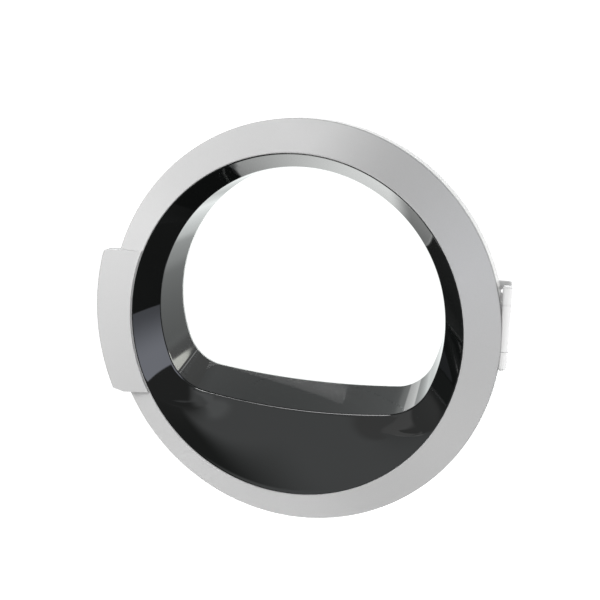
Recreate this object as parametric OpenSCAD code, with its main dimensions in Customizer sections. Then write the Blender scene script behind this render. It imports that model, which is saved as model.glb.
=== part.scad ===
// Round tumble-dryer door with a silver ring, a grip tab at its left edge,
// a gloss-black funnel that narrows to a D-shaped window tunnel, a clear
// pane, a pale rear liner, a hinge at its right edge and a sprung latch hook.
//
// Frame: the origin is the centre of the round loading opening, on the front
// plane of the cabinet. -Y points out of the machine, +X to the hinge side
// and +Z up. Everything is drawn with the door closed.

/* [Ring] */
// Radius of the ring's outer edge
ring_r = 239; // [238.5:0.1:239.4]
// Radius of the ring's mouth
mouth_r = 200.9; // [200.6:0.1:201.2]
// Distance of the mouth edge in front of the cabinet
mouth_d = 54; // [53:0.5:55]
// Distance of the outer edge in front of the cabinet
edge_d = 28; // [27.8:0.1:28.4]
// Wall of the ring, across the bevelled face
ring_wall = 3; // [2.5:0.1:3.2]
// Length of the skirt behind the outer edge
skirt_l = 5; // [4.5:0.1:5.2]

/* [Window funnel] */
// Radius of the funnel's round front edge
funnel_r = 199.2; // [198.8:0.1:199.4]
// Radius of the D's upper arc at its front edge
d1_r = 174.8; // [173:0.1:176]
// Height of that arc's centre
d1_z = 8.7; // [8:0.1:9.5]
// Lowest point of the front D
d1_bottom = -105.4; // [-107:0.1:-104]
// Radius of the front D's lower arc
d1_low_r = 780; // [700:10:900]
// Radius of the front D's lower corners
d1_corner_r = 60; // [56:1:64]
// Depth of the front D, counted from the cabinet plane
d1_y = -27.3; // [-28:0.1:-26.5]
// Radius of the D's upper arc at its rear edge
d2_r = 166.8; // [166:0.1:167.2]
// Height of that arc's centre
d2_z = 18.4; // [18:0.1:18.8]
// Lowest point of the rear D
d2_bottom = -80.5; // [-82:0.1:-79]
// Radius of the rear D's lower arc
d2_low_r = 1053; // [950:10:1150]
// Radius of the rear D's lower corners
d2_corner_r = 51; // [48:1:54]
// Depth of the rear D, counted from the cabinet plane
d2_y = 20.8; // [20.6:0.1:20.9]
// Wall of the funnel
funnel_wall = 2.5; // [2.2:0.1:2.8]
// Angle on the mouth where the apron ends, lower right; its left end mirrors it
apron_a = 327.7; // [326:0.1:329]
// Angle on the mouth where the blend at the apron's right ends
blend_r = 331; // [330:0.1:332]
// Angle on the mouth where the blend at the apron's left ends
blend_l = 206.7; // [205:0.1:208]

/* [Window] */
// Thickness of the pane
glass_t = 3; // [2.8:0.1:3]
// Thickness of the pane's seal
seal_t = 1.5; // [1.3:0.1:1.5]
// Radius of the round step on the pane
step_r = 90; // [60:1:110]

/* [Handle] */
// Radius of the tab's outer edge
tab_r = 260; // [258:0.5:262]
// Wall of the grip tab
tab_wall = 2.5; // [2.3:0.1:2.6]
// Distance of the tab's back in front of the cabinet
tab_back = 19; // [18.5:0.1:19.5]

/* [Rear liner] */
// Radius of the spigot that enters the loading opening
spigot_r = 196.5; // [196.3:0.1:196.8]
// How far the spigot enters the cabinet
spigot_l = 28; // [27.8:0.1:29]
// Distance of the liner's back plane from the cabinet
back_gap = 3; // [2.9:0.1:3.2]
// Radius of the circle of liner screws
liner_screw_r = 225; // [224:0.5:226]

/* [Hinge] */
// Distance of the hinge axis from the door's centre
axis_x = 241; // [240.8:0.1:241.2]
// Distance of the hinge axis in front of the cabinet
axis_d = 22; // [21.8:0.1:22.2]
// Height of the hinge's middle
hinge_z = 20; // [19:0.5:21]
// Radius of the knuckles
knuckle_r = 5.5; // [5.3:0.1:5.6]
// Radius of the hinge pin
pin_r = 2.5; // [2.3:0.1:2.6]
// Spacing of the bracket's screws along X
bolt_x = 14; // [13:0.5:14]
// Spacing of the bracket's screws along Z
bolt_z = 76; // [74:1:78]
// Radius of the bracket's screw holes
bolt_r = 2.6; // [2.2:0.1:2.8]

/* [Latch] */
// Distance of the hook's pivot from the door's centre
hook_x = -223; // [-223.5:0.5:-222.5]
// Distance of the hook's pivot in front of the cabinet
hook_d = 13; // [12.5:0.5:13.5]
// Height of the hook's middle
hook_z = -20; // [-22:1:-18]
// Thickness of the hook
hook_t = 8; // [7:0.5:8]

/* [Hidden] */
$fn = 96;

silver = [0.80, 0.80, 0.82];
black = [0.08, 0.09, 0.09];
pale = [0.93, 0.93, 0.92];
steel = [0.66, 0.67, 0.69];
zinc = [0.86, 0.86, 0.85];
grey = [0.35, 0.36, 0.37];

// ---- the ring's bevelled face ------------------------------------------
bevel = (mouth_d - edge_d) / (ring_r - mouth_r);   // rise for each mm of radius
bevel_n = sqrt(1 + bevel * bevel);
function face_y(r) = -mouth_d + (r - mouth_r) * bevel;
function back_y(r) = face_y(r) + ring_wall * bevel_n;
face_a = atan(bevel);                               // slope of the face

// a profile of [radius, y] points turned about the door's axis
module turned(pts, fn = 240)
    rotate([90, 0, 0]) rotate_extrude($fn = fn)
        polygon([for (p = pts) [p[0], -p[1]]]);

// a cylinder along Y between two depths
module along_y(x, z, y1, y2, r, fn = 48)
    translate([x, y2, z]) rotate([90, 0, 0]) cylinder(r = r, h = y2 - y1, $fn = fn);

// an outline in X and Z, drawn between two depths
module slab(pts, y1, y2)
    translate([0, y2, 0]) rotate([90, 0, 0]) linear_extrude(height = y2 - y1) polygon(pts);

// a countersunk or pan-headed screw along Y; its head lies at y2 and it
// points towards -Y
module screw(x, z, y2, len, r, head_r, head_h) {
    difference() {
        union() {
            along_y(x, z, y2 - head_h, y2, head_r, 40);
            along_y(x, z, y2 - head_h - len, y2 - head_h + 0.01, r, 32);
        }
        // cross recess
        for (a = [0, 90])
            translate([x, y2, z]) rotate([0, a, 0])
                translate([-head_r * 0.5, -head_h * 0.55, -0.45])
                    cube([head_r, head_h, 0.9]);
    }
}

// ---- the D-shaped section of the window tunnel --------------------------
// R, z0: upper arc; zl: lowest point; Rb: lower arc; rc: corners; o: offset
function d_set(R, z0, zl, Rb, rc, o) =
    let (zb = zl + Rb, r1 = R - rc, r2 = Rb - rc,
         zc = (r1 * r1 - r2 * r2 - z0 * z0 + zb * zb) / (2 * (zb - z0)),
         xc = sqrt(r1 * r1 - pow(zc - z0, 2)),
         a0 = atan2(zc - z0, xc),
         b = 360 + atan2(zc - zb, -xc),
         e = 360 + atan2(zc - zb, xc))
    [R + o, z0, zb, Rb + o, rc + o, xc, zc, a0, b, e];

// u runs 0..1 over the top, 1..2 round the left corner, 2..3 along the
// bottom and 3..4 round the right corner
function d_pt(d, u) =
    u < 1 ? let (t = d[7] + (180 - 2 * d[7]) * u)
            [d[0] * cos(t), d[1] + d[0] * sin(t)] :
    u < 2 ? let (t = 180 - d[7] + (d[8] - 180 + d[7]) * (u - 1))
            [-d[5] + d[4] * cos(t), d[6] + d[4] * sin(t)] :
    u < 3 ? let (t = d[8] + (d[9] - d[8]) * (u - 2))
            [d[3] * cos(t), d[2] + d[3] * sin(t)] :
            let (t = d[9] + (360 + d[7] - d[9]) * (u - 3))
            [d[5] + d[4] * cos(t), d[6] + d[4] * sin(t)];

function d1(o) = d_set(d1_r, d1_z, d1_bottom, d1_low_r, d1_corner_r, o);
function d2(o) = d_set(d2_r, d2_z, d2_bottom, d2_low_r, d2_corner_r, o);

// places along the D where the blends and the apron begin and end
u_bl = 1.228; u_al = 2.057; u_ar = 2.943; u_br = 3.424;

// stations round the section
n_top = 72; n_low = 28;
stations = concat(
    [for (i = [0 : n_top - 1]) i / n_top],
    [1, 1.076, 1.152, u_bl, 1.37, 1.51, 1.65, 1.8, 1.9, 2],
    [for (i = [0 : n_low]) u_al + (u_ar - u_al) * i / n_low],
    [3, 3.14, 3.28, u_br, 3.57, 3.71, 3.86]);
ns = len(stations);

// angle on the round mouth that belongs to a place on the D: equal angles
// over the top, equal shares of length in the blends, and straight rulings
// that fan out over the apron
dd = d1(0);
corner_len = d1_corner_r * (dd[8] - 180 + dd[7]) * PI / 180;
low_len = d1_low_r * (dd[9] - dd[8]) * PI / 180;
left_len = (2 - u_bl) * corner_len + (u_al - 2) * low_len;
right_len = (3 - u_ar) * low_len + (u_br - 3) * corner_len;
x_ar = d_pt(dd, u_ar)[0];
function mouth_a(u) =
    u <= 1 ? dd[7] + (180 - 2 * dd[7]) * u :
    u <= u_bl ? (180 - dd[7]) + (blend_l - 180 + dd[7]) * (u - 1) / (u_bl - 1) :
    u <= 2 ? blend_l + (540 - apron_a - blend_l) * (u - u_bl) * corner_len / left_len :
    u <= u_al ? blend_l + (540 - apron_a - blend_l)
                * ((2 - u_bl) * corner_len + (u - 2) * low_len) / left_len :
    u <= u_ar ? 270 + asin(min(1, max(-1, sin(apron_a - 270) * d_pt(dd, u)[0] / x_ar))) :
    u <= 3 ? apron_a + (blend_r - apron_a) * (u - u_ar) * low_len / right_len :
    u <= u_br ? apron_a + (blend_r - apron_a)
                * ((3 - u_ar) * low_len + (u - 3) * corner_len) / right_len :
    blend_r + (360 + dd[7] - blend_r) * (u - u_br) / (4 - u_br);

function on_mouth(r, y, u) = [r * cos(mouth_a(u)), y, r * sin(mouth_a(u))];
function on_d(d, y, u) = let (p = d_pt(d, u)) [p[0], y, p[1]];
function mix3(a, b, k) = a * (1 - k) + b * k;

// closed outline of a D with an offset
function d_outline(d) = [for (u = stations) d_pt(d, u)];

// ---- the grip tab's outline, seen from the front ------------------------
tab_outline = [[-275, 63.8], [-256, 62], [-252.6, 61], [-251.6, 63.6],
               [-249.8, 65.6], [-247.2, 66.8], [-226, 69], [-189.5, 73],
               [-150, 77], [-150, -93], [-178.4, -99.2], [-218, -108.2],
               [-238.4, -107.2], [-240.6, -105.4], [-275, -102]];
tab_inner = [[-275, 60.4], [-255, 58.4], [-250, 62.4], [-226, 66.4],
             [-189.5, 70.4], [-150, 74.4], [-150, -90.4], [-178.4, -96.6],
             [-218, -105.6], [-237, -104.7], [-240, -102.4], [-275, -99]];
tab_screws = [[-217.4, 45], [-221.1, -20], [-205.1, -85]];

// screws that hold the liner on the ring
liner_screw_at = [35, 68, 112, 145, 215, 248, 292, 325];

// hinge screws, in X and Z
arm_screws = [[216, hinge_z - 32], [216, hinge_z], [216, hinge_z + 32]];

// half lengths of the hinge's knuckles, from the hinge's middle
mid_h = 25.7;      // the door's knuckle
ear_h1 = 27;       // the bracket's knuckles start here
ear_h2 = 46;       // and end here
bolt_c = 226.5;    // middle of the bracket's screw pattern, in X

// ========================================================================
module trim_ring() {
    f = 1.0;       // fillet at the mouth
    g = 1.2;       // fillet at the outer edge
    ym = face_y(mouth_r + f) + f * bevel_n;
    yo = face_y(ring_r - g) + g * bevel_n;
    color(silver) difference() {
        union() {
            turned(concat(
                [[mouth_r, -mouth_d + 7]],
                [for (i = [0 : 8]) let (t = 180 + (90 + face_a) * i / 8)
                    [mouth_r + f + f * cos(t), ym + f * sin(t)]],
                [for (i = [0 : 6]) let (t = 270 + face_a + (90 - face_a) * i / 6)
                    [ring_r - g + g * cos(t), yo + g * sin(t)]],
                [[ring_r, -edge_d + skirt_l],
                 [ring_r - 2.4, -edge_d + skirt_l],
                 [ring_r - 2.4, back_y(ring_r - 2.4)],
                 [mouth_r + 2.2, back_y(mouth_r + 2.2)],
                 [mouth_r + 2.2, -mouth_d + 7]]));
            // bosses, cut off behind the bevelled face
            intersection() {
                union() {
                    // for the liner's screws
                    for (a = liner_screw_at)
                        along_y(liner_screw_r * cos(a), liner_screw_r * sin(a),
                                -mouth_d, -back_gap - 2.6, 4.5);
                    // for the hinge
                    for (p = arm_screws)
                        along_y(p[0], p[1], -mouth_d, -axis_d - 1.5, 5);
                    // seats for the handle's screws
                    for (p = tab_screws)
                        along_y(p[0], p[1], -mouth_d, back_y(norm(p)) + 3, 5.5);
                }
                turned([[mouth_r + 3, back_y(mouth_r + 3) - 1.4],
                        [ring_r - 3, back_y(ring_r - 3) - 1.4],
                        [ring_r - 3, 0], [mouth_r + 3, 0]]);
            }
        }
        for (a = liner_screw_at)
            along_y(liner_screw_r * cos(a), liner_screw_r * sin(a),
                    -back_gap - 2.6 - 16, -back_gap, 1.7, 32);
        for (p = arm_screws)
            along_y(p[0], p[1], -axis_d - 1.5 - 13, 0, 1.9, 32);
        for (p = tab_screws)
            along_y(p[0], p[1], -mouth_d - 4, 0, 2.3, 32);
        // room for the hinge knuckles behind the outer edge
        translate([axis_x, -axis_d, hinge_z - 48]) cylinder(r = 6.2, h = 96);
        // slot for the hinge arm
        translate([228, -axis_d - 2.5, hinge_z - 26.5]) cube([20, 6, 53]);
    }
}

// ------------------------------------------------------------------------
module tab_solid(r_in, lift, wall) {
    // lift: height of the face over the ring at the mouth; wall: inset
    turned([[r_in, face_y(r_in) - 0.25 + (wall > 0 ? 4 : 0)],
            [r_in, -mouth_d - lift + wall * 1.1],
            [tab_r - 1.2 - wall, -edge_d - 0.6 + wall * 1.1],
            [tab_r - wall, -edge_d + 0.6 + wall * 1.1],
            [tab_r - wall, -tab_back + (wall > 0 ? 1 : 0)],
            [ring_r + 0.5, -tab_back + (wall > 0 ? 1 : 0)],
            [ring_r + 0.5, face_y(ring_r) - 0.25 + (wall > 0 ? 4 : 0)]]);
}

module handle_cover() {
    color(silver) difference() {
        union() {
            difference() {
                intersection() {
                    tab_solid(mouth_r + 1, 2.2, 0);
                    slab(tab_outline, -70, 0);
                }
                intersection() {
                    tab_solid(mouth_r + 1 + tab_wall, 2.2, tab_wall);
                    slab(tab_inner, -70, 0);
                }
            }
            // posts for the screws, standing on the ring
            intersection() {
                for (p = tab_screws)
                    along_y(p[0], p[1], -mouth_d - 8, -20, 4.5);
                tab_solid(mouth_r + 1, 2.2, 0);
            }
        }
        for (p = tab_screws)
            along_y(p[0], p[1], face_y(norm(p)) - 5.2, 0, 1.7, 32);
    }
}

module handle_insert() {
    // channel that closes the tab behind the fingers' edge
    color(grey) intersection() {
        turned([[ring_r + 0.8, -33], [ring_r + 0.8, -tab_back],
                [tab_r - tab_wall - 0.3, -tab_back],
                [tab_r - tab_wall - 0.3, -tab_back - 2.5],
                [ring_r + 3.2, -tab_back - 2.5], [ring_r + 3.2, -33]]);
        slab([for (p = tab_inner) [p[0], p[1] > 0 ? p[1] - 0.3 : p[1] + 0.3]], -70, 0);
    }
}

module handle_screws() {
    color(steel) for (p = tab_screws)
        screw(p[0], p[1], back_y(norm(p)) + 3 + 2.4, 10.5, 1.65, 3.8, 2.4);
}

// ------------------------------------------------------------------------
module window_funnel() {
    w = funnel_wall;
    yf = -mouth_d + 1;                  // the funnel's front edge
    yl = -mouth_d + 7.3;                // its ledge behind the ring's lip
    da = d1(0); db = d2(0); dao = d1(w); dbo = d2(w); dbf = d2(7);
    rows = [
        [for (u = stations) on_mouth(funnel_r, yf, u)],
        [for (u = stations) mix3(on_mouth(funnel_r, yf, u), on_d(da, d1_y, u), 1 / 3)],
        [for (u = stations) mix3(on_mouth(funnel_r, yf, u), on_d(da, d1_y, u), 2 / 3)],
        [for (u = stations) on_d(da, d1_y, u)],
        [for (u = stations) on_d(db, d2_y, u)],
        [for (u = stations) on_d(dbf, d2_y, u)],
        [for (u = stations) on_d(dbf, d2_y - 2.2, u)],
        [for (u = stations) on_d(dbo, d2_y - 2.2, u)],
        [for (u = stations) on_d(dao, d1_y + 2.7, u)],
        [for (u = stations) on_mouth(mouth_r - 2.3, yf + 4.2, u)],
        [for (u = stations) on_mouth(mouth_r - 2.3, yl + 2.2, u)],
        [for (u = stations) on_mouth(206, yl + 2.2, u)],
        [for (u = stations) on_mouth(206, yl, u)],
        [for (u = stations) on_mouth(mouth_r - 0.7, yl, u)],
        [for (u = stations) on_mouth(mouth_r - 0.7, yf, u)]];
    nr = len(rows);
    color(black) polyhedron(
        points = [for (r = rows) for (p = r) p],
        faces = [for (i = [0 : nr - 1]) for (j = [0 : ns - 1])
            let (a = i * ns + j, b = i * ns + (j + 1) % ns,
                 c = ((i + 1) % nr) * ns + (j + 1) % ns, d = ((i + 1) % nr) * ns + j)
            each [[a, b, c], [a, c, d]]],
        convexity = 10);
}

module window_seal() {
    y1 = d2_y + 0.02;
    color(grey) difference() {
        slab(d_outline(d2(6.4)), y1, y1 + seal_t - 0.04);
        slab(d_outline(d2(1.4)), y1 - 1, y1 + seal_t + 1);
    }
}

module window_glass() {
    y1 = d2_y + seal_t;
    color([0.86, 0.9, 0.9, 0.3]) union() {
        slab(d_outline(d2(5.6)), y1, y1 + glass_t);
        along_y(5, 15, y1 + glass_t - 1, y1 + glass_t + 0.6, step_r, 180);
    }
}

// ------------------------------------------------------------------------
module rear_liner() {
    yb = -back_gap;
    ye = spigot_l;
    color(pale) difference() {
        turned(concat(
            [[ring_r, -edge_d + skirt_l + 0.4]],
            [for (i = [0 : 6]) let (t = 90 * i / 6)
                [ring_r - 2 + 2 * cos(t), yb - 2 + 2 * sin(t)]],
            [[211.2, yb], [211.2, yb - 3], [200.8, yb - 3], [200.8, yb],
             [spigot_r, yb]],
            [for (i = [0 : 6]) let (t = 90 * i / 6)
                [spigot_r - 2 + 2 * cos(t), ye - 2 + 2 * sin(t)]],
            [[0, ye], [0, ye - 2.4], [spigot_r - 2.3, ye - 2.4],
             [spigot_r - 2.3, yb - 5.5], [213.5, yb - 5.5], [213.5, yb - 2.5],
             [ring_r - 2.5, yb - 2.5], [ring_r - 2.5, -20], [ring_r - 5, -20],
             [ring_r - 5, -25.4], [ring_r - 2.7, -25.4],
             [ring_r - 2.7, -edge_d + skirt_l + 0.4]]));
        // the window
        slab(d_outline(d2(1.5)), 10, ye + 5);
        // screw holes
        for (a = liner_screw_at) {
            along_y(liner_screw_r * cos(a), liner_screw_r * sin(a), -12, 5, 2.1, 32);
            along_y(liner_screw_r * cos(a), liner_screw_r * sin(a), yb - 1.4, 5, 4.2, 40);
        }
        for (s = [-1, 1]) {
            along_y(hook_x, hook_z + s * 18, -12, 5, 1.9, 32);
            along_y(hook_x, hook_z + s * 18, yb - 1.4, 5, 3.7, 40);
        }
        // slot for the latch hook
        translate([hook_x - 4.6, -12, hook_z - hook_t / 2 - 1.2])
            cube([12.6, 14, hook_t + 2.4]);
        // room for the hinge
        translate([axis_x, -axis_d, hinge_z - 48]) cylinder(r = 6.2, h = 96);
        translate([226, -axis_d - 2.5, hinge_z - 26.5]) cube([20, 6, 53]);
    }
}

module liner_screws() {
    color(steel) for (a = liner_screw_at)
        screw(liner_screw_r * cos(a), liner_screw_r * sin(a),
              -back_gap - 0.2, 13, 1.65, 3.8, 1.2);
}

module door_gasket() {
    yb = -back_gap;
    color(grey) turned([[201.1, yb - 2.95], [210.9, yb - 2.95], [210.9, yb - 1.1],
        [205.6, yb - 1.1], [205.0, yb - 0.2], [207.8, yb + 1.3], [208.6, yb + 2.6],
        [204.2, yb + 2.6], [202.2, yb + 0.8], [201.1, yb - 1.2]]);
}

// ------------------------------------------------------------------------
module hinge_plate() {
    color(zinc) difference() {
        translate([206, -axis_d + 1.5, hinge_z - 44]) cube([17, 2, 88]);
        for (p = arm_screws) along_y(p[0], p[1], -40, 0, 2.3, 32);
    }
}

module hinge_arm() {
    color(zinc) difference() {
        union() {
            translate([axis_x, -axis_d, hinge_z - mid_h])
                cylinder(r = knuckle_r, h = 2 * mid_h);
            translate([207, -axis_d - 1.5, hinge_z - 42]) cube([16, 3, 84]);
            translate([220, -axis_d - 1.5, hinge_z - 25]) cube([axis_x - 220, 3, 50]);
        }
        translate([axis_x, -axis_d, hinge_z - 60]) cylinder(r = pin_r + 1.5, h = 120);
        for (p = arm_screws) along_y(p[0], p[1], -40, 0, 2.3, 32);
    }
}

module hinge_arm_screws() {
    color(steel) for (p = arm_screws)
        screw(p[0], p[1], -axis_d + 3.5 + 2.4, 15.5, 1.85, 4, 2.4);
}

module hinge_bushes() {
    color(pale) for (s = [-1, 1])
        translate([axis_x, -axis_d, hinge_z]) rotate([s < 0 ? 180 : 0, 0, 0])
            difference() {
                union() {
                    translate([0, 0, mid_h - 12]) cylinder(r = pin_r + 1.48, h = 12);
                    translate([0, 0, mid_h]) cylinder(r = knuckle_r - 0.4, h = 1);
                }
                translate([0, 0, mid_h - 20]) cylinder(r = pin_r + 0.05, h = 40);
            }
}

module hinge_pin() {
    color(steel) translate([axis_x, -axis_d, hinge_z]) difference() {
        union() {
            translate([0, 0, -ear_h2 - 3]) cylinder(r = pin_r, h = 2 * ear_h2 + 3);
            translate([0, 0, ear_h2]) cylinder(r = 4.4, h = 2);
        }
        // groove for the clip
        difference() {
            translate([0, 0, -ear_h2 - 1.5]) cylinder(r = 5, h = 1);
            translate([0, 0, -ear_h2 - 2]) cylinder(r = pin_r - 0.7, h = 3);
        }
    }
}

module pin_clip() {
    color(steel) translate([axis_x, -axis_d, hinge_z - ear_h2 - 1.4]) difference() {
        cylinder(r = 4.6, h = 0.8);
        translate([0, 0, -1]) cylinder(r = pin_r - 0.68, h = 3);
        translate([-1.5, -8, -1]) cube([3, 8, 3]);
    }
}

module hinge_bracket() {
    h = axis_d - 2.5;
    color(zinc) difference() {
        union() {
            translate([213.5, -2.5, hinge_z - 50])
                cube([axis_x + 1.7 - 213.5, 2.5, 100]);
            // two leaves bent up from the plate and curled round the pin
            for (s = [-1, 1])
                translate([axis_x, -axis_d, hinge_z + (s > 0 ? ear_h1 : -ear_h2)]) {
                    cylinder(r = knuckle_r, h = ear_h2 - ear_h1);
                    translate([-1.3, 4, 0]) cube([3, h - 3.5, ear_h2 - ear_h1]);
                }
        }
        translate([axis_x, -axis_d, hinge_z - 60]) cylinder(r = pin_r + 0.01, h = 120);
        for (sx = [-1, 1]) for (sz = [-1, 1])
            translate([bolt_c + sx * bolt_x / 2, 0, hinge_z + sz * bolt_z / 2]) {
                along_y(0, 0, -10, 10, bolt_r, 40);
                // countersink
                translate([0, -2.5, 0]) rotate([-90, 0, 0])
                    rotate_extrude($fn = 40) polygon([[0, -1], [bolt_r + 2.2, -1],
                        [bolt_r + 1.2, 0], [bolt_r, 1.2], [0, 1.2]]);
            }
    }
}

// ------------------------------------------------------------------------
module latch_housing() {
    yb = -back_gap - 2.5;
    color(grey) difference() {
        intersection() {
            translate([hook_x - 7, -24, hook_z - 24]) cube([16, yb + 24, 48]);
            // kept clear of the liner's inner rim
            along_y(0, 0, -30, 0, 233.4, 180);
        }
        // chamber of the hook
        translate([hook_x - 5, -21.5, hook_z - hook_t / 2 - 4])
            cube([12, 30, hook_t + 8]);
        // pivot
        translate([hook_x, -hook_d, hook_z - 12]) cylinder(r = 2.01, h = 24, $fn = 40);
        // holes for the housing's screws
        for (s = [-1, 1])
            along_y(hook_x, hook_z + s * 18, yb - 12, yb + 1, 1.5, 32);
    }
}

module latch_screws() {
    color(steel) for (s = [-1, 1])
        screw(hook_x, hook_z + s * 18, -back_gap - 0.2, 11, 1.45, 3.4, 1.2);
}

module latch_hook() {
    t = hook_t;
    color(pale) translate([hook_x, -hook_d, hook_z - t / 2]) difference() {
        union() {
            cylinder(r = 4.2, h = t, $fn = 48);
            linear_extrude(height = t)
                polygon([[-2.6, 0], [-2.6, 20], [-6.0, 20], [-6.0, 22], [-1.6, 28],
                         [1.2, 28], [2.6, 26], [2.6, 0]]);
        }
        translate([0, 0, -1]) cylinder(r = 2.05, h = t + 2, $fn = 40);
    }
}

module latch_pin() {
    color(steel) translate([hook_x, -hook_d, hook_z - 11.5])
        cylinder(r = 2, h = 23, $fn = 40);
}

module latch_spring() {
    // wire wound round the pivot above the hook, one leg on the housing's
    // end wall and one bent down beside the hook
    turns = 3; wr = 0.35; cr = 2.75; m = 8;
    z0 = hook_t / 2 + 0.6 + wr; pitch = 0.85;
    path = concat(
        [[cr, -8, z0], [cr, -3, z0]],
        [for (i = [0 : 14 * turns]) let (a = i * 360 / 14)
            [cr * cos(a), cr * sin(a), z0 + a / 360 * pitch]],
        [[cr, 2.5, z0 + turns * pitch], [3.1, 5, z0 + turns * pitch],
         [3.1, 5.8, z0 + turns * pitch - 0.8], [3.1, 5.8, 0]]);
    n = len(path);
    function unit(v) = v / norm(v);
    function tangent(i) = unit(path[min(i + 1, n - 1)] - path[max(i - 1, 0)]);
    function side(t) = abs(t[2]) > 0.95 ? [1, 0, 0] : unit(cross(t, [0, 0, 1]));
    color(steel) translate([hook_x, -hook_d, hook_z])
        polyhedron(
            points = [for (i = [0 : n - 1]) let (t = tangent(i), p = side(t), q = cross(p, t))
                for (k = [0 : m - 1])
                    path[i] + wr * (cos(k * 360 / m) * p + sin(k * 360 / m) * q)],
            faces = concat(
                [[for (k = [0 : m - 1]) m - 1 - k]],
                [[for (k = [0 : m - 1]) (n - 1) * m + k]],
                [for (i = [0 : n - 2]) for (k = [0 : m - 1])
                    let (a = i * m + k, b = i * m + (k + 1) % m)
                    each [[a, b, b + m], [a, b + m, a + m]]]));
}

trim_ring();
handle_cover();
handle_insert();
handle_screws();
window_funnel();
window_seal();
window_glass();
rear_liner();
liner_screws();
door_gasket();
hinge_plate();
hinge_arm();
hinge_arm_screws();
hinge_bushes();
hinge_pin();
pin_clip();
hinge_bracket();
latch_housing();
latch_screws();
latch_hook();
latch_pin();
latch_spring();
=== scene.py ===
import math

import bmesh
import bpy
import numpy as np
from mathutils import Matrix, Vector


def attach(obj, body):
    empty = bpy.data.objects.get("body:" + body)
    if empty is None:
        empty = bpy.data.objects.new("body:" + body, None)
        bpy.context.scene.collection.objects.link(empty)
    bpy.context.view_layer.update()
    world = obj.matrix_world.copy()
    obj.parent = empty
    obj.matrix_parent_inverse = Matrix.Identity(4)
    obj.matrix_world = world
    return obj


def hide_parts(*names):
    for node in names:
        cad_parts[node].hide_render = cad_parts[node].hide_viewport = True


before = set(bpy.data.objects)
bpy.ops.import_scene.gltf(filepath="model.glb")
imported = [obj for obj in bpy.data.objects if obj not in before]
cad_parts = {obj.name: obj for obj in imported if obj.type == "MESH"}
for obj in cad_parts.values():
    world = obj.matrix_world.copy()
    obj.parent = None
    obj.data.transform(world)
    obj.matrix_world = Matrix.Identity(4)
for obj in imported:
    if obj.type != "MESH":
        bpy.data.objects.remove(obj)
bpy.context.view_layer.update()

MM = 0.001
pi = math.pi


def rad(a):
    return a * pi / 180.0


# ---------------------------------------------------------------- camera
def camera():
    az, el, roll = rad(16.99), rad(11.54), rad(2.52)
    dist = 1.4022
    back = Vector((math.sin(az) * math.cos(el), -math.cos(az) * math.cos(el), math.sin(el)))
    fwd = -back
    right = fwd.cross(Vector((0, 0, 1))).normalized()
    up = right.cross(fwd).normalized()
    x = right * math.cos(roll) + up * math.sin(roll)
    y = -right * math.sin(roll) + up * math.cos(roll)
    m = Matrix((x, y, back)).transposed().to_4x4()
    m.translation = Vector((0.0023, -0.028, 0.0288)) + back * dist
    data = bpy.data.cameras.new("camera")
    data.lens = 72.0
    data.sensor_width = 36.0
    data.clip_start, data.clip_end = 0.05, 50
    cam = bpy.data.objects.new("camera", data)
    cam.matrix_world = m
    bpy.context.scene.collection.objects.link(cam)
    bpy.context.scene.camera = cam
    return cam


cam = camera()


# ---------------------------------------------------------------- materials
def material(name, colour, rough, metal=0.0, ior=1.5, coat=0.0, coat_rough=0.05):
    m = bpy.data.materials.new(name)
    m.use_nodes = True
    b = m.node_tree.nodes["Principled BSDF"]
    b.inputs["Base Color"].default_value = (*colour, 1)
    b.inputs["Roughness"].default_value = rough
    b.inputs["Metallic"].default_value = metal
    b.inputs["IOR"].default_value = ior
    b.inputs["Coat Weight"].default_value = coat
    b.inputs["Coat Roughness"].default_value = coat_rough
    return m, m.node_tree.nodes, m.node_tree.links, b


def coords(nodes, links, scale=(1, 1, 1)):
    t = nodes.new("ShaderNodeTexCoord")
    mp = nodes.new("ShaderNodeMapping")
    mp.inputs["Scale"].default_value = scale
    links.new(t.outputs["Object"], mp.inputs["Vector"])
    return mp.outputs["Vector"]


def noise(nodes, links, vec, scale, detail=4.0, rough=0.55):
    n = nodes.new("ShaderNodeTexNoise")
    n.inputs["Scale"].default_value = scale
    n.inputs["Detail"].default_value = detail
    n.inputs["Roughness"].default_value = rough
    links.new(vec, n.inputs["Vector"])
    return n.outputs["Fac"]


def spread(nodes, links, fac, lo, hi, a=0.0, b=1.0):
    r = nodes.new("ShaderNodeMapRange")
    r.inputs["From Min"].default_value = a
    r.inputs["From Max"].default_value = b
    r.inputs["To Min"].default_value = lo
    r.inputs["To Max"].default_value = hi
    links.new(fac, r.inputs["Value"])
    return r.outputs["Result"]


def tint(nodes, links, fac, c1, c2):
    mx = nodes.new("ShaderNodeMix")
    mx.data_type = "RGBA"
    mx.inputs[6].default_value = (*c1, 1)
    mx.inputs[7].default_value = (*c2, 1)
    links.new(fac, mx.inputs[0])
    return mx.outputs[2]


def bump(nodes, links, b, height, strength, distance):
    n = nodes.new("ShaderNodeBump")
    n.inputs["Strength"].default_value = strength
    n.inputs["Distance"].default_value = distance
    links.new(height, n.inputs["Height"])
    links.new(n.outputs["Normal"], b.inputs["Normal"])
    return n


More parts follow.
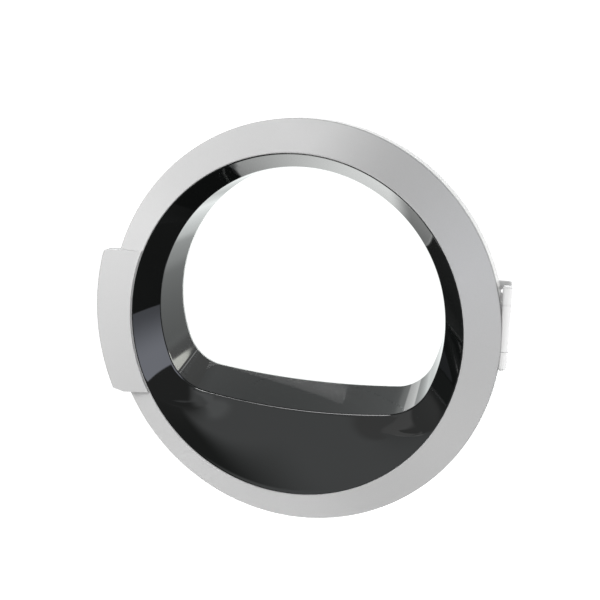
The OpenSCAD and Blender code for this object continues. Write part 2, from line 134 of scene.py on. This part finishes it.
def make_silver():
    # satin silver lacquer on plastic: fine flake in colour and height, broad soft gloss
    m, n, l, b = material("silver_lacquer", (0.50, 0.50, 0.50), 0.46, metal=0.06)
    v = coords(n, l)
    fine = noise(n, l, v, 1500.0, 2.0)
    wide = noise(n, l, v, 14.0, 3.0)
    flake = tint(n, l, spread(n, l, fine, 0, 1, 0.3, 0.7), (0.48, 0.48, 0.48), (0.52, 0.52, 0.52))
    # painted shade: the ring's skirt beside the liner is darkened in the base colour to stand in for the shadow gap
    # between ring and liner
    parts = n.new("ShaderNodeSeparateXYZ")
    l.new(v, parts.inputs[0])
    rho = n.new("ShaderNodeMath")
    rho.operation = "POWER"
    sq = n.new("ShaderNodeMath")
    sq.operation = "MULTIPLY"
    l.new(parts.outputs[0], sq.inputs[0])
    l.new(parts.outputs[0], sq.inputs[1])
    sq2 = n.new("ShaderNodeMath")
    sq2.operation = "MULTIPLY_ADD"
    l.new(parts.outputs[2], sq2.inputs[0])
    l.new(parts.outputs[2], sq2.inputs[1])
    l.new(sq.outputs[0], sq2.inputs[2])
    l.new(sq2.outputs[0], rho.inputs[0])
    rho.inputs[1].default_value = 0.5
    out = spread(n, l, rho.outputs[0], 0, 1, 0.2380, 0.2388)
    deep = spread(n, l, parts.outputs[1], 0, 1, -0.0290, -0.0275)
    painted_skirt_shade = n.new("ShaderNodeMath")
    painted_skirt_shade.operation = "MULTIPLY"
    l.new(out, painted_skirt_shade.inputs[0])
    l.new(deep, painted_skirt_shade.inputs[1])
    mx = n.new("ShaderNodeMix")
    mx.data_type = "RGBA"
    l.new(painted_skirt_shade.outputs[0], mx.inputs[0])
    l.new(flake, mx.inputs[6])
    # painted shade colour that the skirt's base colour drops to
    mx.inputs[7].default_value = (0.24, 0.24, 0.24, 1)
    l.new(mx.outputs[2], b.inputs["Base Color"])
    l.new(spread(n, l, wide, 0.43, 0.50, 0.3, 0.7), b.inputs["Roughness"])
    bump(n, l, b, fine, 0.06, 0.0003)
    return m


def make_black():
    # piano-black moulding: mirror gloss, a trace of moulding waviness and fine dust haze
    m, n, l, b = material("black_gloss", (0.0042, 0.0048, 0.0046), 0.03, ior=1.52)
    v = coords(n, l)
    wide = noise(n, l, v, 22.0, 2.0)
    dust = noise(n, l, v, 420.0, 3.0)
    l.new(tint(n, l, wide, (0.0036, 0.0042, 0.0040), (0.0050, 0.0056, 0.0054)), b.inputs["Base Color"])
    l.new(spread(n, l, dust, 0.022, 0.045, 0.35, 0.7), b.inputs["Roughness"])
    bump(n, l, b, wide, 0.03, 0.0004)
    return m


def make_pale(name="pale_plastic", c=(0.80, 0.80, 0.795)):
    m, n, l, b = material(name, c, 0.42)
    v = coords(n, l)
    grain = noise(n, l, v, 900.0, 3.0)
    wide = noise(n, l, v, 12.0, 2.0)
    l.new(tint(n, l, wide, tuple(x * 0.985 for x in c), tuple(min(1, x * 1.01) for x in c)), b.inputs["Base Color"])
    l.new(spread(n, l, grain, 0.38, 0.48, 0.3, 0.7), b.inputs["Roughness"])
    bump(n, l, b, grain, 0.10, 0.0004)
    return m


def make_dark(name="dark_plastic", c=(0.045, 0.046, 0.05)):
    m, n, l, b = material(name, c, 0.5)
    v = coords(n, l)
    grain = noise(n, l, v, 1100.0, 3.0)
    l.new(tint(n, l, grain, tuple(x * 0.85 for x in c), tuple(x * 1.15 for x in c)), b.inputs["Base Color"])
    l.new(spread(n, l, grain, 0.42, 0.56, 0.3, 0.7), b.inputs["Roughness"])
    bump(n, l, b, grain, 0.15, 0.0004)
    return m


def make_rubber():
    m, n, l, b = material("soft_seal", (0.05, 0.052, 0.055), 0.7)
    v = coords(n, l)
    grain = noise(n, l, v, 700.0, 4.0)
    l.new(tint(n, l, grain, (0.04, 0.042, 0.045), (0.065, 0.067, 0.07)), b.inputs["Base Color"])
    l.new(spread(n, l, grain, 0.6, 0.8, 0.3, 0.7), b.inputs["Roughness"])
    bump(n, l, b, grain, 0.2, 0.0005)
    return m


def make_steel():
    m, n, l, b = material("bare_steel", (0.62, 0.62, 0.64), 0.3, metal=1.0)
    v = coords(n, l, (1, 1, 6))
    lines = noise(n, l, v, 260.0, 3.0)
    l.new(tint(n, l, lines, (0.55, 0.55, 0.57), (0.68, 0.68, 0.70)), b.inputs["Base Color"])
    l.new(spread(n, l, lines, 0.22, 0.4, 0.3, 0.7), b.inputs["Roughness"])
    bump(n, l, b, lines, 0.06, 0.0003)
    return m


def make_coated():
    m, n, l, b = material("painted_steel", (0.90, 0.90, 0.90), 0.34, coat=0.2)
    v = coords(n, l)
    peel = noise(n, l, v, 240.0, 2.0)
    l.new(tint(n, l, peel, (0.88, 0.88, 0.88), (0.92, 0.92, 0.915)), b.inputs["Base Color"])
    l.new(spread(n, l, peel, 0.3, 0.4, 0.3, 0.7), b.inputs["Roughness"])
    bump(n, l, b, peel, 0.08, 0.0005)
    return m


def make_glass():
    # clear pane: see-through, with the mirror of its two faces on top
    m = bpy.data.materials.new("clear_pane")
    m.use_nodes = True
    n, l = m.node_tree.nodes, m.node_tree.links
    b = n["Principled BSDF"]
    b.inputs["Base Color"].default_value = (0.02, 0.022, 0.021, 1)
    b.inputs["Metallic"].default_value = 0.0
    b.inputs["Roughness"].default_value = 0.02
    b.inputs["IOR"].default_value = 1.5
    v = coords(n, l)
    wave = noise(n, l, v, 9.0, 1.0)
    smear = noise(n, l, v, 60.0, 3.0)
    l.new(spread(n, l, smear, 0.01, 0.03, 0.3, 0.7), b.inputs["Roughness"])
    bump(n, l, b, wave, 0.02, 0.0005)
    clear = n.new("ShaderNodeBsdfTransparent")
    clear.inputs["Color"].default_value = (0.985, 0.995, 0.99, 1)
    lw = n.new("ShaderNodeLayerWeight")
    lw.inputs["Blend"].default_value = 0.5
    steep = n.new("ShaderNodeMath")
    steep.operation = "POWER"
    l.new(lw.outputs["Facing"], steep.inputs[0])
    steep.inputs[1].default_value = 5.0
    mix = n.new("ShaderNodeMixShader")
    l.new(spread(n, l, steep.outputs[0], 0.03, 1.0), mix.inputs[0])
    l.new(clear.outputs[0], mix.inputs[1])
    l.new(b.outputs[0], mix.inputs[2])
    l.new(mix.outputs[0], n["Material Output"].inputs["Surface"])
    return m


silver = make_silver()
black = make_black()
pale = make_pale()
white = make_pale("white_plastic", (0.88, 0.88, 0.88))
dark = make_dark()
rubber = make_rubber()
steel = make_steel()
coated = make_coated()
glass = make_glass()

by_node = {
    "trim_ring": silver, "handle_cover": silver, "handle_insert": silver,
    "handle_screws": steel, "window_funnel": black, "window_seal": rubber,
    "window_glass": glass, "rear_liner": pale, "liner_screws": steel,
    "door_gasket": rubber, "hinge_plate": steel, "hinge_arm": coated,
    "hinge_arm_screws": steel, "hinge_bushes": white, "hinge_pin": coated,
    "pin_clip": coated, "hinge_bracket": coated, "latch_housing": dark,
    "latch_screws": steel, "latch_hook": pale, "latch_pin": steel,
    "latch_spring": steel,
}
for name, mat in by_node.items():
    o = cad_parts[name]
    o.data.materials.clear()
    o.data.materials.append(mat)


# ---------------------------------------------------------------- meshes
def mesh_object(name, verts, faces, mat, body, node=None, sharp=30):
    me = bpy.data.meshes.new(name)
    me.from_pydata([tuple(v) for v in verts], [], faces)
    me.validate()
    me.update()
    o = bpy.data.objects.new(name, me)
    bpy.context.scene.collection.objects.link(o)
    me.materials.append(mat)
    bm = bmesh.new()
    bm.from_mesh(me)
    bmesh.ops.recalc_face_normals(bm, faces=bm.faces)
    lim = rad(sharp)
    for e in bm.edges:
        e.smooth = len(e.link_faces) == 2 and e.calc_face_angle(0) < lim
    for f in bm.faces:
        f.smooth = True
    bm.to_mesh(me)
    bm.free()
    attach(o, body)
    if node:
        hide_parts(node)
    return o


# the D-shaped section: R, z0 upper arc; zl lowest point; Rb lower arc; rc corners
def d_set(R, z0, zl, Rb, rc, o=0.0):
    zb = zl + Rb
    r1, r2 = R - rc, Rb - rc
    zc = (r1 * r1 - r2 * r2 - z0 * z0 + zb * zb) / (2 * (zb - z0))
    xc = math.sqrt(r1 * r1 - (zc - z0) ** 2)
    a0 = math.atan2(zc - z0, xc)
    b = 2 * pi + math.atan2(zc - zb, -xc)
    e = 2 * pi + math.atan2(zc - zb, xc)
    return (R + o, z0, zb, Rb + o, rc + o, xc, zc, a0, b, e)


def d_pt(d, u):
    R, z0, zb, Rb, rc, xc, zc, a0, b, e = d
    if u < 1:
        t = a0 + (pi - 2 * a0) * u
        return R * math.cos(t), z0 + R * math.sin(t)
    if u < 2:
        t = pi - a0 + (b - pi + a0) * (u - 1)
        return -xc + rc * math.cos(t), zc + rc * math.sin(t)
    if u < 3:
        t = b + (e - b) * (u - 2)
        return Rb * math.cos(t), zb + Rb * math.sin(t)
    t = e + (2 * pi + a0 - e) * (u - 3)
    return xc + rc * math.cos(t), zc + rc * math.sin(t)


def d1(o=0.0):
    return d_set(174.8, 8.7, -105.4, 780.0, 60.0, o)


def d2(o=0.0):
    return d_set(166.8, 18.4, -80.5, 1053.0, 51.0, o)


U_BL, U_AL, U_AR, U_BR = 1.228, 2.057, 2.943, 3.424
APRON, BLEND_R, BLEND_L = 327.7, 331.0, 206.7
_dd = d1()
_cl = 60.0 * (_dd[8] - pi + _dd[7])
_ll = 780.0 * (_dd[9] - _dd[8])
_left = (2 - U_BL) * _cl + (U_AL - 2) * _ll
_right = (3 - U_AR) * _ll + (U_BR - 3) * _cl
_xar = d_pt(_dd, U_AR)[0]
_A0 = math.degrees(_dd[7])


def mouth_a(u):
    if u <= 1:
        return _A0 + (180 - 2 * _A0) * u
    if u <= U_BL:
        return (180 - _A0) + (BLEND_L - 180 + _A0) * (u - 1) / (U_BL - 1)
    if u <= 2:
        return BLEND_L + (540 - APRON - BLEND_L) * (u - U_BL) * _cl / _left
    if u <= U_AL:
        return BLEND_L + (540 - APRON - BLEND_L) * ((2 - U_BL) * _cl + (u - 2) * _ll) / _left
    if u <= U_AR:
        k = math.sin(rad(APRON - 270)) * d_pt(_dd, u)[0] / _xar
        return 270 + math.degrees(math.asin(max(-1, min(1, k))))
    if u <= 3:
        return APRON + (BLEND_R - APRON) * (u - U_AR) * _ll / _right
    if u <= U_BR:
        return APRON + (BLEND_R - APRON) * ((3 - U_AR) * _ll + (u - 3) * _cl) / _right
    return BLEND_R + (360 + _A0 - BLEND_R) * (u - U_BR) / (4 - U_BR)


def span(a, b, n, last=False):
    return [a + (b - a) * i / n for i in range(n + (1 if last else 0))]


stations = (span(0, 1, 300) + span(1, U_BL, 12) + span(U_BL, 2, 22) + span(2, U_AL, 6)
            + span(U_AL, U_AR, 110) + span(U_AR, 3, 6) + span(3, U_BR, 14) + span(U_BR, 4, 16))


def on_mouth(r, y, u):
    a = rad(mouth_a(u))
    return np.array((r * math.cos(a), y, r * math.sin(a)))


def on_d(d, y, u):
    p = d_pt(d, u)
    return np.array((p[0], y, p[1]))


def outward(d, u):
    R, z0, zb, Rb, rc, xc, zc, a0, b, e = d
    if u < 1:
        t = a0 + (pi - 2 * a0) * u
    elif u < 2:
        t = pi - a0 + (b - pi + a0) * (u - 1)
    elif u < 3:
        t = b + (e - b) * (u - 2)
    else:
        t = e + (2 * pi + a0 - e) * (u - 3)
    return math.cos(t), math.sin(t)


def wall(p, q, n, k):
    """from the mouth point p (k 0) to the window's edge q (k 1), leaving q square to it"""
    h = math.hypot(p[0] - q[0], p[2] - q[2])
    c = (n[0] * (p[0] - q[0]) + n[1] * (p[2] - q[2])) / h
    f = 0.36 + 0.14 * c
    m = q + np.array((n[0] * h, p[1] - q[1], n[1] * h)) * f
    return q * k * k + m * 2 * k * (1 - k) + p * (1 - k) ** 2


def funnel():
    da, db = d1(), d2()
    dbf, dbo, dao = d2(7), d2(2.5), d1(2.5)
    rows = []

    def row(f):
        rows.append([f(u) for u in stations])

    yf, yl = -53.0, -46.7
    # rounded front edge, out to in
    row(lambda u: on_mouth(200.8, yf + 0.45, u))
    row(lambda u: on_mouth(200.7, yf + 0.15, u))
    row(lambda u: on_mouth(200.5, yf, u))
    row(lambda u: on_mouth(200.2, yf + 0.05, u))

    # funnel wall from the mouth to the D-shaped window tunnel
    def P(u):
        return on_mouth(199.9, yf + 0.25, u)

    def Q(u):
        return on_d(da, -27.3, u)

    def T(u):
        return on_d(db, 20.8, u)

    rr = 2.0                                # radius of the tunnel's front edge
    for k in (0.01, 0.04, 0.08, 0.13, 0.19, 0.26, 0.34, 0.42, 0.5, 0.58, 0.66, 0.74, 0.81, 0.87, 0.92, 0.955):
        row(lambda u, k=k: wall(P(u), Q(u), outward(da, u), k))

    def edge(u, s):
        # a rounded turn from the funnel into the tunnel
        p, q, t = P(u), Q(u), T(u)
        n = outward(da, u)
        h = math.hypot(p[0] - q[0], p[2] - q[2])
        d = np.array((n[0] * h, p[1] - q[1], n[1] * h))
        a = q + d / np.linalg.norm(d) * rr
        b = q + (t - q) / np.linalg.norm(t - q) * rr
        return a * (1 - s) ** 2 + q * 2 * s * (1 - s) + b * s * s

    for s in (0.0, 0.14, 0.28, 0.43, 0.57, 0.72, 0.86, 1.0):
        row(lambda u, s=s: edge(u, s))
    for k in (0.06, 0.15, 0.3, 0.45, 0.6, 0.75, 0.9, 0.97, 1.0):
        row(lambda u, k=k: Q(u) * (1 - k) + T(u) * k)
    # rear flange and the hidden outer side
    row(lambda u: on_d(dbf, 20.8, u))
    row(lambda u: on_d(dbf, 18.6, u))
    row(lambda u: on_d(dbo, 18.6, u))
    row(lambda u: on_d(dbo, 18.6, u) * 0.5 + on_d(dao, -24.6, u) * 0.5)
    for k in (1.0, 0.9, 0.78, 0.66, 0.54, 0.42, 0.3, 0.18, 0.08, 0.0):
        row(lambda u, k=k: wall(on_mouth(198.6, -48.8, u), on_d(dao, -24.6, u), outward(dao, u), k))
    row(lambda u: on_mouth(198.6, yl + 2.2, u))
    row(lambda u: on_mouth(206, yl + 2.2, u))
    row(lambda u: on_mouth(206, yl, u))
    row(lambda u: on_mouth(200.8, yl, u))
    nr, ns = len(rows), len(stations)
    verts = [p * MM for r in rows for p in r]
    faces = []
    for i in range(nr):
        for j in range(ns):
            a, b = i * ns + j, i * ns + (j + 1) % ns
            c, d = ((i + 1) % nr) * ns + (j + 1) % ns, ((i + 1) % nr) * ns + j
            faces.append((a, b, c, d))
    return mesh_object("funnel_moulding", verts, faces, black, "door", "window_funnel", sharp=40)


funnel()

# ---------------------------------------------------------------- stage and light
def stage_mesh(name, verts, faces, mat, **seen):
    me = bpy.data.meshes.new(name)
    me.from_pydata(verts, [], faces)
    me.materials.append(mat)
    o = bpy.data.objects.new(name, me)
    bpy.context.scene.collection.objects.link(o)
    for key in ("camera", "diffuse", "glossy", "transmission", "volume_scatter", "shadow"):
        setattr(o, "visible_" + key, seen.get(key, False))
    return o


def glow(name, c, strength, base=0.9):
    m = bpy.data.materials.new(name)
    m.use_nodes = True
    b = m.node_tree.nodes["Principled BSDF"]
    b.inputs["Base Color"].default_value = (base, base, base, 1)
    b.inputs["Roughness"].default_value = 0.9
    b.inputs["Specular IOR Level"].default_value = 0.0
    b.inputs["Emission Color"].default_value = (*c, 1)
    b.inputs["Emission Strength"].default_value = strength
    return m


# the white sweep and the pale floor: only the picture sees them, the surroundings below light the door
def dome(radius, rings=24, seg=48):
    v, f = [], []
    for i in range(rings + 1):
        t = pi * i / rings
        for j in range(seg):
            p = 2 * pi * j / seg
            v.append((radius * math.sin(t) * math.cos(p), radius * math.sin(t) * math.sin(p), radius * math.cos(t)))
    for i in range(rings):
        for j in range(seg):
            f.append((i * seg + j, i * seg + (j + 1) % seg, (i + 1) * seg + (j + 1) % seg, (i + 1) * seg + j))
    return v, f


stage_mesh("backdrop", *dome(9.0), glow("white_sweep", (1, 1, 1), 1.2, 0.0), camera=True, transmission=True)
stage_mesh("floor", [(-9, -9, -1.2), (9, -9, -1.2), (9, 9, -1.2), (-9, 9, -1.2)], [(0, 1, 2, 3)],
           glow("pale_floor", (1, 1, 1), 0.9, 0.5), camera=True, transmission=True)

# plain even light for everything matt
world = bpy.data.worlds.new("even_light")
bpy.context.scene.world = world
world.use_nodes = True
world.node_tree.nodes["Background"].inputs["Color"].default_value = (1, 1, 1, 1)
world.node_tree.nodes["Background"].inputs["Strength"].default_value = 0.43

# the studio as the gloss sees it, on a far dome: soft boxes, lit floor and dark corners, by direction
# azimuth 0 is in front of the door, 90 its right (hinge) side, 180 behind it
studio = bpy.data.materials.new("studio")
studio.use_nodes = True
wn, wl = studio.node_tree.nodes, studio.node_tree.links
wn.remove(wn["Principled BSDF"])


def wmath(op, a, b=0.0, c=0.0):
    n = wn.new("ShaderNodeMath")
    n.operation = op
    for i, x in enumerate((a, b, c)):
        if i >= len(n.inputs):
            break
        if isinstance(x, (int, float)):
            n.inputs[i].default_value = x
        else:
            wl.new(x, n.inputs[i])
    return n.outputs[0]


tc = wn.new("ShaderNodeTexCoord")
way = wn.new("ShaderNodeVectorMath")
way.operation = "NORMALIZE"
wl.new(tc.outputs["Object"], way.inputs[0])
sep = wn.new("ShaderNodeSeparateXYZ")
wl.new(way.outputs[0], sep.inputs[0])
AZ = wmath("DEGREES", wmath("ARCTAN2", sep.outputs[0], wmath("MULTIPLY", sep.outputs[1], -1.0)))
EL = wmath("DEGREES", wmath("ARCSINE", sep.outputs[2]))


def inside(value, lo, hi, soft_lo, soft_hi, wrap=False):
    """1 between lo and hi, falling to 0 over soft_lo and soft_hi degrees outside"""
    mid, half = (lo + hi) / 2, (hi - lo) / 2
    soft_lo, soft_hi = max(soft_lo, 0.05), max(soft_hi, 0.05)
    d = wmath("SUBTRACT", value, mid)
    if wrap:
        d = wmath("WRAP", d, 180.0, -180.0)
    up = wn.new("ShaderNodeMapRange")
    up.interpolation_type = "SMOOTHSTEP"
    wl.new(d, up.inputs["Value"])
    up.inputs["From Min"].default_value = -half - soft_lo
    up.inputs["From Max"].default_value = -half
    dn = wn.new("ShaderNodeMapRange")
    dn.interpolation_type = "SMOOTHSTEP"
    wl.new(d, dn.inputs["Value"])
    dn.inputs["From Min"].default_value = half
    dn.inputs["From Max"].default_value = half + soft_hi
    dn.inputs["To Min"].default_value = 1.0
    dn.inputs["To Max"].default_value = 0.0
    return wmath("MULTIPLY", up.outputs["Result"], dn.outputs["Result"])


def patch(under, az, el, value, soft=(8, 8, 8, 8), tone=(1, 1, 1)):
    k = wmath("MULTIPLY", inside(AZ, az[0], az[1], soft[0], soft[1], True), inside(EL, el[0], el[1], soft[2], soft[3]))
    mx = wn.new("ShaderNodeMix")
    mx.data_type = "RGBA"
    wl.new(k, mx.inputs[0])
    wl.new(under, mx.inputs[6])
    mx.inputs[7].default_value = (value * tone[0], value * tone[1], value * tone[2], 1)
    return mx.outputs[2]


base = wn.new("ShaderNodeRGB")
base.outputs[0].default_value = (0.74, 0.76, 0.77, 1)
env = base.outputs[0]
# front: a broad bright wall, dark under a sloping edge and to the right of it
env = patch(env, (-30, 8), (-40, 60), 1.06, (24, 6, 10, 16), (0.97, 1.0, 1.01))
slope = wmath("SUBTRACT", EL, wmath("MULTIPLY_ADD", AZ, 0.33, 13.6))
under = wn.new("ShaderNodeMapRange")
under.interpolation_type = "SMOOTHSTEP"
wl.new(slope, under.inputs["Value"])
under.inputs["From Min"].default_value = -3.0
under.inputs["From Max"].default_value = 2.5
under.inputs["To Min"].default_value = 1.0
under.inputs["To Max"].default_value = 0.0
dim = wmath("MULTIPLY", under.outputs["Result"], wmath("MULTIPLY", inside(AZ, -14, 50, 14, 4, True), inside(EL, -30, 40, 10, 10)))
mx = wn.new("ShaderNodeMix")
mx.data_type = "RGBA"
wl.new(dim, mx.inputs[0])
wl.new(env, mx.inputs[6])
mx.inputs[7].default_value = (0.15, 0.155, 0.15, 1)
env = mx.outputs[2]
env = patch(env, (-13, -4), (25, 36), 1.5, (4, 8, 6, 8), (0.97, 1.0, 1.01))
env = patch(env, (-40, -20), (22, 40), 0.75, (8, 4, 5, 5))
env = patch(env, (17, 52), (-30, 57), 0.26, (18, 2, 10, 10))
env = patch(env, (-60, 60), (-95, -50), 0.2, (20, 20, 0, 12))
# right: a soft box with a crisp lower edge
env = patch(env, (51.5, 80), (-10.2, 50), 1.2, (1.0, 8, 0.6, 8), (0.93, 0.97, 1.1))
env = patch(env, (51.5, 76), (10, 50), 3.4, (1.0, 8, 20, 8), (0.93, 0.97, 1.1))
env = patch(env, (58, 172), (-95, -10.8), 0.08, (14, 1.0, 0, 0.6))
env = patch(env, (138, 172), (-95, -62), 0.0, (6, 1, 0, 4))
env = patch(env, (-110, -65), (-10, 60), 0.45, (14, 14, 8, 8))
# behind: a bright wall, a brighter floor and a dark corner on the left
env = patch(env, (118, 236), (-28, 50), 2.0, (8, 6, 2, 8), (0.98, 1.0, 1.0))
env = patch(env, (128, 146), (-20, 6), 1.55, (5, 8, 6, 8), (0.98, 1.0, 1.0))
env = patch(env, (188, 206), (-20, 0), 1.4, (6, 8, 3, 8), (0.98, 1.0, 1.0))
env = patch(env, (167, 182), (-30, -23.5), 2.9, (6, 5, 1, 3), (0.98, 1.0, 1.0))
env = patch(env, (172, 236), (50, 80), 1.4, (8, 8, 8, 6), (0.98, 1.0, 1.01))
env = patch(env, (-127, -84), (-50, 0), 0.06, (1.0, 12, 0, 10))
env = patch(env, (-100, -50), (-45, -14), 0.25, (8, 10, 8, 6))
# the bright floor behind: its left edge runs askew, its right end fades
slant = wmath("MULTIPLY", wmath("MINIMUM", wmath("MAXIMUM", wmath("ADD", EL, 71.9), -2.0), 1.0), 5.2)
turn = wmath("WRAP", AZ, 360.0, 0.0)
begin = wn.new("ShaderNodeMapRange")
begin.interpolation_type = "SMOOTHSTEP"
wl.new(wmath("SUBTRACT", turn, slant), begin.inputs["Value"])
begin.inputs["From Min"].default_value = 174.5
begin.inputs["From Max"].default_value = 176.0
lit = wmath("MULTIPLY", begin.outputs["Result"], wmath("MULTIPLY", inside(AZ, 150, 244, 0, 1.0, True), inside(EL, -95, -31.8, 0, 0.5)))
mx = wn.new("ShaderNodeMix")
mx.data_type = "RGBA"
wl.new(lit, mx.inputs[0])
wl.new(env, mx.inputs[6])
mx.inputs[7].default_value = (4.8, 4.8, 4.8, 1)
env = mx.outputs[2]
env = patch(env, (227, 244), (-35.1, -31.8), 1.5, (5, 1.0, 4, 0.5))
env = patch(env, (-139, -128), (18, 33), 4.4, (3, 3, 3, 3))
env = patch(env, (124, 166), (50, 74), 1.3, (6, 8, 4, 6))
env = patch(env, (121, 134), (13, 46), 1.2, (4, 6, 5, 4))
# a cream lamp with a slanting edge, and a thin bright rail above it
edge_az = wmath("MULTIPLY_ADD", wmath("MAXIMUM", wmath("SUBTRACT", 21.0, EL), 0.0), 0.11, 125.3)
near = wn.new("ShaderNodeMapRange")
near.interpolation_type = "SMOOTHSTEP"
wl.new(wmath("SUBTRACT", AZ, edge_az), near.inputs["Value"])
near.inputs["From Min"].default_value = -0.2
near.inputs["From Max"].default_value = 0.35
near.inputs["To Min"].default_value = 1.0
near.inputs["To Max"].default_value = 0.0
lit = wmath("MULTIPLY", near.outputs["Result"], wmath("MULTIPLY", inside(AZ, 116, 150, 2, 4, True), inside(EL, 13.5, 37.5, 1.5, 1.2)))
mx = wn.new("ShaderNodeMix")
mx.data_type = "RGBA"
wl.new(lit, mx.inputs[0])
wl.new(env, mx.inputs[6])
mx.inputs[7].default_value = (9.3, 9.3, 8.7, 1)
env = mx.outputs[2]
env = patch(env, (116, 132), (42.0, 43.2), 4.0, (2, 2, 0.5, 0.5))
env = patch(env, (-66, -46), (30, 52), 1.0, (6, 8, 4, 8))
env = patch(env, (-54, -51), (17, 28), 1.4, (1.5, 1.5, 4, 2))
shine = wn.new("ShaderNodeEmission")
wl.new(env, shine.inputs["Color"])
wl.new(shine.outputs[0], wn["Material Output"].inputs["Surface"])
studio.cycles.emission_sampling = "NONE"
stage_mesh("surround", *dome(45.0, 32, 64), studio, glossy=True)
bpy.context.scene.view_settings.view_transform = "Standard"


def area(name, loc, target, size, watts, glossy=False):
    data = bpy.data.lights.new(name, "AREA")
    data.shape = "SQUARE"
    data.size = size
    data.energy = watts
    o = bpy.data.objects.new(name, data)
    o.location = loc
    o.rotation_euler = (Vector(target) - Vector(loc)).to_track_quat("-Z", "Y").to_euler()
    o.visible_glossy = glossy
    o.visible_camera = False
    bpy.context.scene.collection.objects.link(o)
    return o


# soft lamps for the matt surfaces only, strongest from the left
def lamp(name, az, el, watts):
    d = Vector((math.sin(rad(az)) * math.cos(rad(el)), -math.cos(rad(az)) * math.cos(rad(el)), math.sin(rad(el))))
    return area(name, tuple(d * 2.6), (0, 0, 0), 1.2, watts)


lamp("key", -48, 22, 10)
lamp("left", -80, 10, 60)
lamp("left_top", -60, 45, 10)
lamp("front", -20, 10, 4)
lamp("low_right", 42, -40, 30)
lamp("right", 90, 5, 19)
lamp("behind", 180, 15, 24)


# narrow lamps overhead, seen only as reflections
def card(name, az1, az2, el1, el2, strength, dist=2.6, n=10):
    v, f = [], []
    for i in range(n + 1):
        a = rad(az1 + (az2 - az1) * i / n)
        for e in (rad(el1), rad((el1 + el2) / 2), rad(el2)):
            v.append((dist * math.sin(a) * math.cos(e), -dist * math.cos(a) * math.cos(e), dist * math.sin(e)))
    for i in range(n):
        for j in (0, 1):
            k = i * 3 + j
            f.append((k, k + 1, k + 4, k + 3))
    return stage_mesh(name, v, f, glow(name, (1, 1, 1), strength, 0.0), glossy=True)


card("card_a", 8, -38, 66, 72, 26)
card("card_b", -38, -90, 63, 69, 17)
card("card_c", -95, -105, 38, 66, 16)
